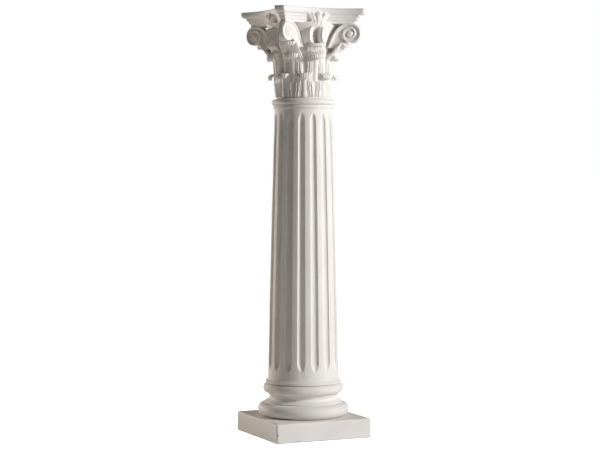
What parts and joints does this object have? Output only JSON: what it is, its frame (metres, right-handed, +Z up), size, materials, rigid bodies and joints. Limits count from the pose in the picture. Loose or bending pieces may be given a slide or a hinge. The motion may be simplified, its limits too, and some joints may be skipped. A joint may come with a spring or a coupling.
{
  "type": "display pedestal",
  "caption": "Classical column pedestal: square plinth, moulded base, fluted tapering shaft, leafed capital with corner scrolls and a flat hollow-sided top.",
  "frame": {"origin": "middle of the plinth's underside", "axes": "+Z up along the column's axis, X and Y square to the sides of the plinth"},
  "size_m": [0.22, 0.22, 0.914],
  "materials": {
    "plaster": "matt white casting plaster"
  },
  "bodies": {
    "root": {"pedestal_casting": "plaster"}
  },
  "joints": []
}
